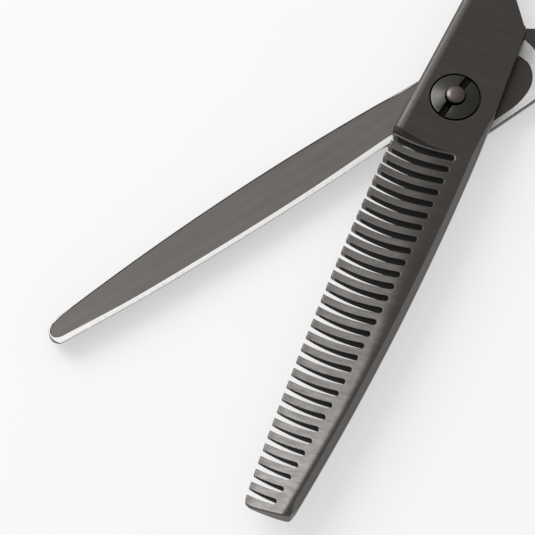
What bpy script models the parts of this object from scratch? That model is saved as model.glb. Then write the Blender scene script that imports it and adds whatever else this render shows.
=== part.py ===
# Thinning shears, modelled as the pieces that come apart on a bench.
# World frame, metres: the origin is on the pivot axis at the lowest face, the
# underside of the pivot stud's head.  +Z up, blades towards -X, handles towards +X.
#
# Both halves are drawn in one "half frame": s towards the tip, w across with the
# spine on +w, h outwards from the ride plane where the two halves slide on each other.
# The comb half stands in that frame as it is; the straight half is the same frame
# turned over about s, so the two cross at the pivot and mirror each other.

from math import atan2, cos, degrees, pi, radians, sin, sqrt

import bmesh
import bpy
from mathutils import Matrix, Vector

MM = 0.001

# ---- driving dimensions, millimetres ----
REST_OPEN_DEG = 34.66       # angle between the two halves as modelled
CLOSE_LEFT_DEG = 0.66       # angle still left when the silencer stops the handles
BLADE_THICK = 3.0           # tang and blade blank, ride face to outer face
HEAD_PROUD = 0.4            # stud head below the straight half's outer face
RIDE_GAP = 0.2              # between the two ride faces
FIT_GAP = 0.3               # between seated pieces
RUN_GAP = 0.1               # radial, between turning pieces

TIP_REACH = 72.8            # pivot to tip
TANG_OUTER = 6.9            # pivot to the tang's outer edge
TANG_TAPER = 0.085          # how fast that edge closes in towards the handle
TANG_CORNER = (-15.0, 6.4)  # the tang's inner corner, behind the pivot
TANG_WAIST = (-19.3, 3.2)   # where the inner edge has turned in

COMB_SPINE = 6.65           # comb spine at the pivot, pivot line to edge
COMB_SPINE_BOW = 0.00108    # per millimetre, squared
COMB_TIP_LINE = 7.5         # tooth tips from the centre line, at their widest
COMB_TIP_BOW = 0.0008
COMB_TIP_WIDEST = 38.0      # where along the blade they are widest
TOOTH_PITCH = 2.107
SLOT_WIDTH = 0.95
SLOT_FIRST = 9.9            # root of the first slot from the pivot
LAST_ROOT_INSET = 1.6       # least steel between the last slot's root and the tip
TOOTH_COUNT = int((TIP_REACH - LAST_ROOT_INSET - SLOT_FIRST) / TOOTH_PITCH) + 1
SLOT_LEAN = 0.5             # a slot's mouth lies this much nearer the pivot
SLOT_RADIUS = 25.0          # of each slot's curve
SPINE_WEB = 3.1             # metal between slot roots and spine
TOOTH_TIP_THICK = 0.9       # the flat grind runs from the ridge down to this
COMB_GRIND_HEEL = 8.6       # where that grind starts

EDGE_LINE = 0.0             # straight blade's cutting edge from the centre line
EDGE_BOW = 0.0007
EDGE_NEAREST = 40.0         # where along the blade the edge bows furthest out
HEEL_S = 11.6               # where the cutting edge begins
STRAIGHT_SPINE = 7.1
STRAIGHT_SPINE_BOW = 0.00117
STRAIGHT_SPINE_WIDEST = 24.0
EDGE_THICK = 0.35           # metal left at the cutting edge before the fine grind
STRAIGHT_GRIND_HEEL = 10.0
STRAIGHT_FLAT = 1.2         # flat left between the grind and the spine chamfer
HOLLOW_DEPTH = 0.25         # ground hollow in the straight half's ride face
HOLLOW_LAND = 0.8           # flat land left along the edge
HOLLOW_HEEL = 14.0          # how far the hollow runs behind the pivot
CHAMFER_PLAN = 0.7          # spine chamfer, seen from above
CHAMFER_FOOT = 0.8          # height left on the spine below the chamfer

HEAD_R = 3.8                # slotted nut
HEAD_RING = 0.2             # gap ring round it
COUNTERBORE_DEPTH = 1.5
NUT_RIM = 0.0               # nut rim above the comb half's face
NUT_CONE = 0.85             # how far its face rises to the middle
NUT_SLOT_WIDTH = 1.2
NUT_SLOT_DEPTH = 0.75
NUT_SLOT_TURN_DEG = 3.0     # direction of the slot, as modelled
NUT_THICK = 0.85            # from its rim down
STUD_R = 1.9                # shaft
STUD_END_R = 1.5            # domed end in the middle of the nut
STUD_END_RISE = 0.55
STUD_END_PROUD = 0.5        # foot of the dome above the nut's cone
STUD_HEAD_R = 4.6
STUD_HEAD_THICK = 1.2
BUSH_WALL = 0.5
WASHER_R = 5.2              # thin disc between the ride faces
WASHER_THICK = 0.5
SPRING_WASHER_R = 3.5
SPRING_WASHER_THICK = 0.3

HANDLE_HALF = 3.2           # half the handles' thickness
HANDLE_START = -26.0        # where a handle reaches full thickness
HANDLE_INNER = -0.6         # inner edge of a handle, off the centre line
HANDLE_WIDTH = 5.6          # just behind the tang
RING_WALL = 4.4
RING_DEEP = 10.6            # ring's centre below the handle's inner edge, less half its radius
FINGER_RING_S = -70.0
THUMB_RING_S = -60.0
FINGER_RING_R = 11.6        # inner radius, without its insert
THUMB_RING_R = 12.4
INSERT_WALL = 1.3
INSERT_HALF = 2.9

REST_R = 1.9                # finger rest rod
REST_REACH = 19.0
REST_NECK_R = 1.3
REST_NECK_DEEP = 2.6
REST_POLAR_DEG = 204.0      # where it screws into the ring
SILENCER_R = 2.2
SILENCER_NECK_R = 1.2
SILENCER_NECK_DEEP = 2.4
SILENCER_CLEAR = 0.5        # between its top and the other handle, closed

# ---- heights and angles that follow ----
RIDE_Z = HEAD_PROUD + BLADE_THICK
COMB_Z = RIDE_Z + RIDE_GAP
STRAIGHT_TURN = pi - radians(REST_OPEN_DEG / 2)
COMB_TURN = pi + radians(REST_OPEN_DEG / 2)
BORE_R = STUD_R + RUN_GAP + BUSH_WALL + RUN_GAP
COUNTERBORE_R = HEAD_R + HEAD_RING
COMB_TOP = COMB_Z + BLADE_THICK
COMB_RIDGE = COMB_SPINE - CHAMFER_PLAN
COMB_GRIND_DEG = degrees(atan2(BLADE_THICK - TOOTH_TIP_THICK, COMB_RIDGE + COMB_TIP_LINE))
STRAIGHT_RIDGE = STRAIGHT_SPINE - CHAMFER_PLAN - STRAIGHT_FLAT
STRAIGHT_GRIND_DEG = degrees(atan2(BLADE_THICK - EDGE_THICK, STRAIGHT_RIDGE - EDGE_LINE))

STRAIGHT = Matrix.Translation((0, 0, RIDE_Z * MM)) @ Matrix.Rotation(STRAIGHT_TURN, 4, "Z") \
    @ Matrix.Rotation(pi, 4, "X")
COMB = Matrix.Translation((0, 0, COMB_Z * MM)) @ Matrix.Rotation(COMB_TURN, 4, "Z")
WORLD = Matrix.Identity(4)


# ---- scene ----
def clear_scene():
    for thing in list(bpy.data.objects):
        bpy.data.objects.remove(thing, do_unlink=True)


def collection(name):
    made = bpy.data.collections.new(name)
    bpy.context.scene.collection.children.link(made)
    return made


def material(name, colour, roughness, metallic):
    made = bpy.data.materials.new(name)
    made.use_nodes = True
    shader = made.node_tree.nodes["Principled BSDF"]
    shader.inputs["Base Color"].default_value = (*colour, 1.0)
    shader.inputs["Roughness"].default_value = roughness
    shader.inputs["Metallic"].default_value = metallic
    return made


def place(thing, home, where):
    for old in list(thing.users_collection):
        old.objects.unlink(thing)
    home.objects.link(thing)
    thing.matrix_world = where
    return thing


# ---- shapes ----
def plate(name, points, low, high, home, where, bevel=0.0):
    """A flat outline in the s-w plane, between two heights."""
    curve = bpy.data.curves.new(name, "CURVE")
    curve.dimensions = "2D"
    curve.fill_mode = "BOTH"
    curve.extrude = (high - low) / 2 * MM
    line = curve.splines.new("POLY")
    line.points.add(len(points) - 1)
    line.use_cyclic_u = True
    for point, (s, w) in zip(line.points, points):
        point.co = (s * MM, w * MM, 0, 1)
    flat = bpy.data.objects.new(name, curve)
    bpy.context.scene.collection.objects.link(flat)
    flat.matrix_world = where @ Matrix.Translation((0, 0, (high + low) / 2 * MM))
    solid = as_mesh(flat, home)
    if bevel:
        rounded(solid, bevel)
    return solid


def as_mesh(thing, home):
    """Turns a curve object into a closed mesh object in the same place."""
    bpy.context.view_layer.update()
    graph = bpy.context.evaluated_depsgraph_get()
    mesh = bpy.data.meshes.new_from_object(thing.evaluated_get(graph))
    shape = bmesh.new()
    shape.from_mesh(mesh)
    bmesh.ops.remove_doubles(shape, verts=shape.verts, dist=0.000002)
    bmesh.ops.recalc_face_normals(shape, faces=shape.faces)
    shape.to_mesh(mesh)
    shape.free()
    name, where = thing.name, thing.matrix_world.copy()
    bpy.data.objects.remove(thing, do_unlink=True)
    solid = bpy.data.objects.new(name, mesh)
    bpy.context.scene.collection.objects.link(solid)
    return place(solid, home, where)


def turned(name, profile, home, where, steps=40):
    """A profile of (radius, height) turned about the local Z axis."""
    mesh = bpy.data.meshes.new(name)
    points = [(r * MM, 0, h * MM) for r, h in profile]
    closed = profile[0][0] > 0
    pairs = [(i, i + 1) for i in range(len(points) - 1)]
    if closed:
        pairs.append((len(points) - 1, 0))
    mesh.from_pydata(points, pairs, [])
    solid = bpy.data.objects.new(name, mesh)
    bpy.context.scene.collection.objects.link(solid)
    place(solid, home, where)
    screw = solid.modifiers.new("Turn", "SCREW")
    screw.steps = steps
    screw.render_steps = steps
    screw.use_merge_vertices = True
    screw.merge_threshold = 0.00001
    return solid


def rounded(solid, width, segments=2, angle=30):
    bevel = solid.modifiers.new("Round", "BEVEL")
    bevel.width = width * MM
    bevel.segments = segments
    bevel.limit_method = "ANGLE"
    bevel.angle_limit = radians(angle)
    bevel.use_clamp_overlap = True


def drum(name, radius, low, high, home, where, vertices=40):
    bpy.ops.mesh.primitive_cylinder_add(vertices=vertices, radius=radius * MM,
                                        depth=(high - low) * MM)
    solid = bpy.context.object
    solid.name = name
    return place(solid, home, where @ Matrix.Translation((0, 0, (high + low) / 2 * MM)))


def boolean(solid, other, operation):
    step = solid.modifiers.new(operation.title() + " " + other.name, "BOOLEAN")
    step.operation = operation
    step.solver = "EXACT"
    step.use_self = operation == "UNION"
    step.object = other


def cut(solid, cutter):
    cutter.hide_render = True
    cutter.display_type = "WIRE"
    boolean(solid, cutter, "DIFFERENCE")


def joined(solid, other):
    other.hide_render = True
    other.display_type = "WIRE"
    boolean(solid, other, "UNION")


def finish(solid, made):
    solid.data.materials.clear()
    solid.data.materials.append(made)
    solid.data.shade_smooth()
    solid.data.set_sharp_from_angle(angle=radians(30))


def arc(centre, radius, start_deg, end_deg, count):
    angles = [radians(start_deg + (end_deg - start_deg) * i / count) for i in range(count + 1)]
    return [(centre[0] + radius * cos(a), centre[1] + radius * sin(a)) for a in angles]


def spread(start, end, count):
    return [start + (end - start) * i / count for i in range(count + 1)]


# ---- lines that several pieces share, all in the half frame ----
def tang_outer(s):
    return -(TANG_OUTER + TANG_TAPER * s)


def comb_spine(s):
    return COMB_SPINE - COMB_SPINE_BOW * s * s


def tooth_line(s):
    return -COMB_TIP_LINE + COMB_TIP_BOW * (s - COMB_TIP_WIDEST) ** 2


def straight_spine(s):
    return STRAIGHT_SPINE - STRAIGHT_SPINE_BOW * (s - STRAIGHT_SPINE_WIDEST) ** 2


def cutting_edge(s):
    return EDGE_LINE + EDGE_BOW * (s - EDGE_NEAREST) ** 2


def tang_back(tail):
    """From the inner corner round the thin end of the tang to its outer edge."""
    inner = [TANG_CORNER, TANG_WAIST, (-23.5, HANDLE_INNER + 0.3), (-27.0, HANDLE_INNER - 0.4)]
    return inner + [(tail, HANDLE_INNER - 0.8), (tail, tang_outer(tail) + 0.6)]


# ---- the two halves ----
def ring_centre(ring_s, ring_r):
    return (ring_s, HANDLE_INNER - RING_DEEP - ring_r / 2)


def handle_outline(ring_s, ring_r):
    """Shank behind the tang, running into the ring's wall on both sides."""
    middle = ring_r + RING_WALL / 2
    near = ring_s + middle
    start = HANDLE_START + 1.0
    inner = [(start, HANDLE_INNER - 0.3), (ring_s + 6.0, HANDLE_INNER)]
    wall = arc(ring_centre(ring_s, ring_r), middle, 88, 16, 8)
    outer = [(near + 3.2, HANDLE_INNER - HANDLE_WIDTH - 2.2), (near + 8.5, HANDLE_INNER - HANDLE_WIDTH),
             (start, HANDLE_INNER - HANDLE_WIDTH)]
    return inner + wall + outer


def add_handle(half, name, ring_s, ring_r, guides, where):
    shank = plate(name + "_shank", handle_outline(ring_s, ring_r),
                  -HANDLE_HALF, HANDLE_HALF, guides, where, bevel=1.1)
    outer, inner, round_ = ring_r + RING_WALL, ring_r, 1.3
    high = HANDLE_HALF + 0.15
    profile = [(outer - round_, high), (outer - 0.35, high - 0.4), (outer, high - round_),
               (outer, round_ - high), (outer - 0.35, 0.4 - high), (outer - round_, -high),
               (inner + 1.0, -high), (inner, 1.0 - high), (inner, high - 1.0), (inner + 1.0, high)]
    centre = where @ Matrix.Translation((ring_s * MM, ring_centre(ring_s, ring_r)[1] * MM, 0))
    ring = turned(name + "_ring", profile, guides, centre, steps=44)
    joined(half, shank)
    joined(half, ring)
    return centre


def grind_cutter(name, heel, slope_deg, ridge_w, home, where):
    """A long bar whose underside is the ground face, with a sloped run-in at its heel."""
    reach = TIP_REACH + 8 - heel
    side = [(0, 3.4), (0.9, 1.0), (2.2, 0), (reach, 0), (reach, 6), (0, 6)]
    bar = plate(name, side, -14, 14, home, WORLD)
    tip_over = Matrix.Rotation(radians(90), 4, "X")
    lean = Matrix.Rotation(radians(slope_deg), 4, "X")
    at = Matrix.Translation((heel * MM, ridge_w * MM, BLADE_THICK * MM))
    bar.matrix_world = where @ at @ lean @ tip_over
    return bar


def spine_cutter(name, line, start, home, where):
    """A three-sided bar that follows the spine and takes its upper edge off."""
    shape = bmesh.new()
    rings = []
    for s in spread(start, TIP_REACH + 4, 16):
        edge, lift = line(s), BLADE_THICK
        drop = lift - CHAMFER_FOOT
        across = 1.2 * CHAMFER_PLAN
        points = [(edge - CHAMFER_PLAN - across, lift + 1.2 * drop),
                  (edge + across, CHAMFER_FOOT - 1.2 * drop),
                  (edge + 4, lift + 1.2 * drop)]
        rings.append([shape.verts.new((s * MM, w * MM, h * MM)) for w, h in points])
    for one, two in zip(rings, rings[1:]):
        for i in range(3):
            j = (i + 1) % 3
            shape.faces.new((one[i], one[j], two[j], two[i]))
    shape.faces.new(rings[0][::-1])
    shape.faces.new(rings[-1])
    bmesh.ops.recalc_face_normals(shape, faces=shape.faces)
    mesh = bpy.data.meshes.new(name)
    shape.to_mesh(mesh)
    shape.free()
    bar = bpy.data.objects.new(name, mesh)
    bpy.context.scene.collection.objects.link(bar)
    return place(bar, home, where)


def comb_outline():
    tip = TIP_REACH
    ends = [(tip - 0.3, tooth_line(tip) + 0.3), (tip, tooth_line(tip) + 2.6),
            (tip - 0.2, comb_spine(tip) - 1.2), (tip - 1.0, comb_spine(tip) - 0.1)]
    teeth = [(s, tooth_line(s)) for s in spread(9.6, tip - 1.2, 10)]
    spine = [(s, comb_spine(s)) for s in spread(tip - 2.0, 0.0, 12)]
    tail = -32.0
    heel = [(8.8, tang_outer(8.8))]
    return teeth + ends + spine + tang_back(tail) + [(0.0, tang_outer(0.0))] + heel


def straight_outline():
    tip = TIP_REACH
    ends = [(tip - 0.9, cutting_edge(tip) + 0.3), (tip - 0.15, cutting_edge(tip) + 0.9),
            (tip, 2.4), (tip - 0.3, 3.6), (tip - 1.0, straight_spine(tip) - 0.1)]
    edge = [(s, cutting_edge(s)) for s in spread(HEEL_S, tip - 3.0, 10)]
    spine = [(s, straight_spine(s)) for s in spread(tip - 2.6, 8.0, 10)]
    heel = [(HEEL_S - s, w) for s, w in ((5.0, tang_outer(6.6)), (3.7, tang_outer(6.6) + 1.3),
                                         (3.0, -3.2), (1.9, -0.9))]
    return edge + ends + spine + tang_back(-32.0) + [(0.0, tang_outer(0.0))] + heel


def slot_outline(index):
    """One curved slot, open past the tooth tips, with a round root."""
    root_s = SLOT_FIRST + TOOTH_PITCH * index
    root = Vector((root_s, comb_spine(root_s) - SPINE_WEB - SLOT_WIDTH / 2))
    mouth = Vector((root_s - SLOT_LEAN, tooth_line(root_s)))
    chord = root - mouth
    back = Vector((-chord.y, chord.x)).normalized()
    centre = (root + mouth) / 2 + back * sqrt(SLOT_RADIUS ** 2 - chord.length_squared / 4)
    start = atan2(*(mouth - centre).yx)
    end = atan2(*(root - centre).yx)
    start -= 1.2 / SLOT_RADIUS
    far, near = SLOT_RADIUS + SLOT_WIDTH / 2, SLOT_RADIUS - SLOT_WIDTH / 2
    turns = spread(start, end, 6)
    outer = [centre + far * Vector((cos(a), sin(a))) for a in turns]
    inner = [centre + near * Vector((cos(a), sin(a))) for a in reversed(turns)]
    at_root = centre + SLOT_RADIUS * Vector((cos(end), sin(end)))
    bend = [end + pi * f for f in (0.25, 0.5, 0.75)]
    cap = [at_root + SLOT_WIDTH / 2 * Vector((cos(a), sin(a))) for a in bend]
    return [tuple(p) for p in outer + cap + inner]


def comb_blade(home, guides):
    half = plate("comb_blade", comb_outline(), 0.0, BLADE_THICK, home, COMB)
    cut(half, grind_cutter("comb_grind", COMB_GRIND_HEEL, COMB_GRIND_DEG, COMB_RIDGE,
                           guides, COMB))
    cut(half, spine_cutter("comb_spine_cut", comb_spine, COMB_GRIND_HEEL, guides, COMB))
    for index in range(TOOTH_COUNT):
        cut(half, plate("slot_%02d" % (index + 1), slot_outline(index), -1.0, BLADE_THICK + 1,
                        guides, COMB))
    centre = add_handle(half, "thumb", THUMB_RING_S, THUMB_RING_R, guides, COMB)
    cut(half, drum("comb_bore", BORE_R, -1, BLADE_THICK + 1, guides, COMB))
    cut(half, drum("nut_seat", COUNTERBORE_R, BLADE_THICK - COUNTERBORE_DEPTH,
                   BLADE_THICK + 1, guides, COMB, 48))
    cut(half, drum("comb_washer_seat", WASHER_R + FIT_GAP, -1,
                   (WASHER_THICK - RIDE_GAP) / 2 + FIT_GAP / 2, guides, COMB))
    cut(half, silencer_hole(guides))
    return half, centre


def hollow_outline():
    """The ground hollow: along the edge inside its land, and round behind the pivot."""
    land = [(s, cutting_edge(s) + HOLLOW_LAND) for s in spread(HEEL_S + 1.0, TIP_REACH - 2.0, 8)]
    spine = [(s, straight_spine(s) - 0.5) for s in spread(TIP_REACH - 1.6, 8.0, 8)]
    rear = arc((-8.6, 0.0), HOLLOW_HEEL - 8.6, 90, 270, 10)
    return land + spine + rear + [(HEEL_S - 6.0, -5.4), (HEEL_S - 3.9, -2.6)]


def straight_blade(home, guides):
    half = plate("straight_blade", straight_outline(), 0.0, BLADE_THICK, home, STRAIGHT)
    cut(half, grind_cutter("straight_grind", STRAIGHT_GRIND_HEEL, STRAIGHT_GRIND_DEG,
                           STRAIGHT_RIDGE, guides, STRAIGHT))
    cut(half, spine_cutter("straight_spine_cut", straight_spine, STRAIGHT_GRIND_HEEL,
                           guides, STRAIGHT))
    cut(half, plate("hollow", hollow_outline(), -1.0, HOLLOW_DEPTH, guides, STRAIGHT))
    centre = add_handle(half, "finger", FINGER_RING_S, FINGER_RING_R, guides, STRAIGHT)
    cut(half, drum("stud_bore", STUD_R + FIT_GAP, -1, BLADE_THICK + 1, guides, STRAIGHT))
    cut(half, drum("stud_seat", STUD_HEAD_R + FIT_GAP,
                   BLADE_THICK + HEAD_PROUD - STUD_HEAD_THICK - FIT_GAP,
                   BLADE_THICK + 1, guides, STRAIGHT, 48))
    cut(half, drum("straight_washer_seat", WASHER_R + FIT_GAP, -1,
                   (WASHER_THICK - RIDE_GAP) / 2 + FIT_GAP / 2, guides, STRAIGHT))
    cut(half, rest_hole(guides))
    return half, centre


# ---- the pivot ----
def pivot_stud(home):
    """Flat head below the straight half, plain shaft, domed end in the nut."""
    top = nut_rim_z() + NUT_CONE * (1 - STUD_END_R / HEAD_R) + STUD_END_PROUD
    dome = arc((0, top), 1, 80, 10, 4)
    end = [(0, top + STUD_END_RISE)] + [(STUD_END_R * r, top + STUD_END_RISE * (h - top))
                                        for r, h in dome] + [(STUD_END_R, top)]
    neck = nut_rim_z() - NUT_THICK - SPRING_WASHER_THICK - 2 * FIT_GAP
    shaft = [(STUD_END_R, neck), (STUD_R, neck - 0.3), (STUD_R, STUD_HEAD_THICK)]
    head = [(STUD_HEAD_R - 0.3, STUD_HEAD_THICK), (STUD_HEAD_R, STUD_HEAD_THICK - 0.3),
            (STUD_HEAD_R, 0.3), (STUD_HEAD_R - 0.3, 0), (0, 0)]
    return turned("pivot_stud", end + shaft + head, home, WORLD.copy())


def nut_rim_z():
    return COMB_TOP + NUT_RIM


def tension_nut(home, guides):
    """Slotted round nut with a shallow cone face, in the comb half's counterbore."""
    hole = STUD_END_R + RUN_GAP
    inner = NUT_CONE * (1 - hole / HEAD_R)
    profile = [(hole, inner), (HEAD_R - 0.35, 0.08), (HEAD_R, -0.15), (HEAD_R, -NUT_THICK),
               (hole, -NUT_THICK)]
    where = Matrix.Translation((0, 0, nut_rim_z() * MM)) \
        @ Matrix.Rotation(radians(NUT_SLOT_TURN_DEG), 4, "Z")
    nut = turned("tension_nut", profile, home, where, steps=48)
    half = NUT_SLOT_WIDTH / 2
    reach = HEAD_R + 1
    low = NUT_CONE * 0.4 - NUT_SLOT_DEPTH
    box = [(-reach, -half), (reach, -half), (reach, half), (-reach, half)]
    cut(nut, plate("nut_slot", box, low, 3.0, guides, where))
    return nut


def washer(name, inner, outer, low, thick, home, steps=40):
    profile = [(inner, thick), (outer, thick), (outer, 0), (inner, 0)]
    return turned(name, profile, home, Matrix.Translation((0, 0, low * MM)), steps)


def pivot_small_parts(home):
    bush_low = RIDE_Z + RIDE_GAP / 2 + WASHER_THICK / 2 + FIT_GAP / 2
    bush_high = COMB_TOP - COUNTERBORE_DEPTH - 0.05
    bush = washer("pivot_bushing", STUD_R + RUN_GAP, BORE_R - RUN_GAP, bush_low,
                  bush_high - bush_low, home)
    disc = washer("ride_washer", STUD_R + RUN_GAP, WASHER_R,
                  RIDE_Z + RIDE_GAP / 2 - WASHER_THICK / 2, WASHER_THICK, home)
    under_nut = nut_rim_z() - NUT_THICK
    floor = COMB_TOP - COUNTERBORE_DEPTH
    spring = washer("spring_washer", STUD_END_R + RUN_GAP, SPRING_WASHER_R,
                    (under_nut + floor - SPRING_WASHER_THICK) / 2, SPRING_WASHER_THICK, home)
    return bush, disc, spring


# ---- rings, finger rest and silencer ----
def insert(name, ring_r, home, centre):
    outer = ring_r - FIT_GAP
    inner = outer - INSERT_WALL
    high = INSERT_HALF
    profile = [(inner + 0.5, high), (outer, high), (outer, -high), (inner + 0.5, -high),
               (inner, 0.6 - high), (inner, high - 0.6)]
    return turned(name, profile, home, centre, steps=40)


def rest_root():
    """Point on the finger ring's outside, and the way straight out of it."""
    polar = radians(REST_POLAR_DEG)
    out = Vector((cos(polar), sin(polar), 0))
    centre = Vector((*ring_centre(FINGER_RING_S, FINGER_RING_R), 0))
    return centre + out * (FINGER_RING_R + RING_WALL), out


def rest_hole(guides):
    root, out = rest_root()
    facing = out.to_track_quat("Z", "Y").to_matrix().to_4x4()
    where = STRAIGHT @ Matrix.Translation(root * MM) @ facing
    return drum("rest_hole", REST_NECK_R + FIT_GAP / 2, -REST_NECK_DEEP - FIT_GAP, 3,
                guides, where, 24)


def finger_rest(home, guides):
    """A curved tapered rod on a thin threaded neck."""
    root, out = rest_root()
    start = root + out * FIT_GAP
    side = Vector((-out.y, out.x, 0))
    curve = bpy.data.curves.new("finger_rest", "CURVE")
    curve.dimensions = "3D"
    curve.bevel_depth = MM
    curve.bevel_resolution = 3
    curve.use_fill_caps = True
    line = curve.splines.new("POLY")
    count = 12
    line.points.add(count)
    for i in range(count + 1):
        f = i / count
        at = start + out * (REST_REACH * sin(1.15 * f) / 1.15) \
            + side * (REST_REACH * (1 - cos(1.15 * f)) / 1.15)
        line.points[i].co = (*(at * MM), 1)
        end = sqrt(max(0.06, 1 - max(0, (f - 0.82) / 0.18) ** 2))
        line.points[i].radius = REST_R * (1 + 0.12 * f) * end
    rod = bpy.data.objects.new("finger_rest", curve)
    bpy.context.scene.collection.objects.link(rod)
    rod.matrix_world = STRAIGHT
    rest = as_mesh(rod, home)
    facing = out.to_track_quat("Z", "Y").to_matrix().to_4x4()
    where = STRAIGHT @ Matrix.Translation(root * MM) @ facing
    joined(rest, drum("rest_neck", REST_NECK_R, -REST_NECK_DEEP, FIT_GAP + 1, guides, where, 24))
    return rest


def silencer_line():
    """From the thumb ring's centre towards the finger ring's, with the handles closed."""
    thumb = Vector((*ring_centre(THUMB_RING_S, THUMB_RING_R), 0))
    finger_w = ring_centre(FINGER_RING_S, FINGER_RING_R)[1]
    finger = Vector((FINGER_RING_S, -finger_w, 0))
    turn = Matrix.Rotation(radians(-CLOSE_LEFT_DEG), 3, "Z")
    finger = turn @ finger
    out = (finger - thumb).normalized()
    back = turn.inverted()
    to_edge = (-HANDLE_INNER - (back @ thumb).y) / (back @ out).y
    reach = min((finger - thumb).length - (FINGER_RING_R + RING_WALL), to_edge)
    return thumb, out, reach


def silencer_place():
    thumb, out, _ = silencer_line()
    facing = out.to_track_quat("Z", "Y").to_matrix().to_4x4()
    return COMB @ Matrix.Translation(thumb * MM) @ facing


def silencer_hole(guides):
    seat = THUMB_RING_R + RING_WALL
    return drum("silencer_hole", SILENCER_NECK_R + FIT_GAP / 2, seat - SILENCER_NECK_DEEP - FIT_GAP,
                seat + 3, guides, silencer_place(), 24)


def silencer(home):
    """A rubber button pressed into the thumb ring, where the two rings meet."""
    seat = THUMB_RING_R + RING_WALL
    top = silencer_line()[2] - SILENCER_CLEAR
    foot = seat + FIT_GAP
    dome = [(SILENCER_R * r, top - 0.8 + 0.8 * h) for r, h in arc((0, 0), 1, 80, 0, 4)]
    profile = [(0, top)] + dome + [(SILENCER_R, foot), (SILENCER_NECK_R, foot),
                                   (SILENCER_NECK_R, seat - SILENCER_NECK_DEEP),
                                   (0, seat - SILENCER_NECK_DEEP)]
    return turned("silencer", profile, home, silencer_place(), steps=24)


def main():
    clear_scene()
    home = collection("thinning_shears")
    guides = collection("cutters")
    coated = material("coated_steel", (0.055, 0.049, 0.045), 0.32, 0.9)
    ground = material("ground_steel", (0.16, 0.15, 0.145), 0.3, 0.95)
    nut_metal = material("nut_metal", (0.05, 0.048, 0.046), 0.25, 0.95)
    slick = material("slick_plastic", (0.75, 0.74, 0.7), 0.5, 0.0)
    spring_steel = material("spring_steel", (0.5, 0.5, 0.5), 0.3, 1.0)
    soft = material("black_rubber", (0.02, 0.02, 0.02), 0.7, 0.0)

    straight, finger_centre = straight_blade(home, guides)
    comb, thumb_centre = comb_blade(home, guides)
    bush, disc, spring = pivot_small_parts(home)
    finish(straight, ground)
    finish(comb, coated)
    finish(pivot_stud(home), nut_metal)
    finish(tension_nut(home, guides), nut_metal)
    finish(bush, slick)
    finish(disc, slick)
    finish(spring, spring_steel)
    finish(insert("finger_insert", FINGER_RING_R, home, finger_centre), soft)
    finish(insert("thumb_insert", THUMB_RING_R, home, thumb_centre), soft)
    finish(finger_rest(home, guides), coated)
    finish(silencer(home), soft)


main()
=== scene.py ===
# Thinning shears: the fine visible pieces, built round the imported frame.
# Both halves are drawn in one half frame, in millimetres: s runs towards the tip, w across
# with the spine on +w, h outwards from the face that slides on the other half.
from math import atan2, cos, hypot, pi, radians, sin, sqrt

import bmesh
import bpy
import numpy as np
from mathutils import Matrix, Vector
from mathutils.geometry import delaunay_2d_cdt
from mathutils.kdtree import KDTree


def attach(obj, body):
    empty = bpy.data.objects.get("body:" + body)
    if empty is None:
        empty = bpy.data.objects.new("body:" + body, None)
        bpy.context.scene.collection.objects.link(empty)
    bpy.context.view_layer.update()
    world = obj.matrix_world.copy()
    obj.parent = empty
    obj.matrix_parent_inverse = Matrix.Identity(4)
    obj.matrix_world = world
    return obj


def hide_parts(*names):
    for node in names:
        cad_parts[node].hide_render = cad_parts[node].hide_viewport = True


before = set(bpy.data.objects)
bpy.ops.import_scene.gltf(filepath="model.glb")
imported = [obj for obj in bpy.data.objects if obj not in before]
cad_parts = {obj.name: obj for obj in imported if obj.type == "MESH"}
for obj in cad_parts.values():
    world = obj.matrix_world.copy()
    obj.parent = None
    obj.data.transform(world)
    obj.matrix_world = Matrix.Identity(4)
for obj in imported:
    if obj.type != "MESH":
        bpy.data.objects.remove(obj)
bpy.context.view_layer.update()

mm = 0.001

layout = {"restOpen": 34.66, "thick": 3.0, "headProud": 0.4, "rideGap": 0.2, "tipReach": 72.8}
rideZ = layout["headProud"] + layout["thick"]
combZ = rideZ + layout["rideGap"]
combTop = combZ + layout["thick"]
halfOpen = radians(layout["restOpen"] / 2)
combPlace = Matrix.Translation((0, 0, combZ * mm)) @ Matrix.Rotation(pi + halfOpen, 4, "Z")
straightPlace = (Matrix.Translation((0, 0, rideZ * mm)) @ Matrix.Rotation(pi - halfOpen, 4, "Z")
                 @ Matrix.Rotation(pi, 4, "X"))


# small helpers
def easeStep(low, high, value):
    t = np.clip((np.asarray(value, float) - low) / (high - low), 0, 1)
    return t * t * (3 - 2 * t)


def arcPoints(centre, radius, startDeg, endDeg, count):
    turns = np.radians(np.linspace(startDeg, endDeg, count + 1))
    return [(centre[0] + radius * cos(a), centre[1] + radius * sin(a)) for a in turns]


def curveThrough(points, count):
    # a smooth curve through given points, count steps between each two
    spots = [np.array(p, float) for p in points]
    spots = [2 * spots[0] - spots[1]] + spots + [2 * spots[-1] - spots[-2]]
    line = []
    for a, b, c, d in zip(spots, spots[1:], spots[2:], spots[3:]):
        for i in range(count):
            t = i / count
            line.append(tuple(0.5 * (2 * b + (c - a) * t + (2 * a - 5 * b + 4 * c - d) * t * t
                                     + (3 * b - a - 3 * c + d) * t ** 3)))
    return line + [tuple(spots[-2])]


def bentCorner(before, corner, after, reach, count=4):
    # rounds one corner between two straight runs
    p0, p1, p2 = (np.array(p, float) for p in (before, corner, after))
    start = p1 + (p0 - p1) / np.linalg.norm(p0 - p1) * reach
    end = p1 + (p2 - p1) / np.linalg.norm(p2 - p1) * reach
    return [tuple((1 - t) ** 2 * start + 2 * t * (1 - t) * p1 + t * t * end)
            for t in np.linspace(0, 1, count + 1)]


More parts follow.
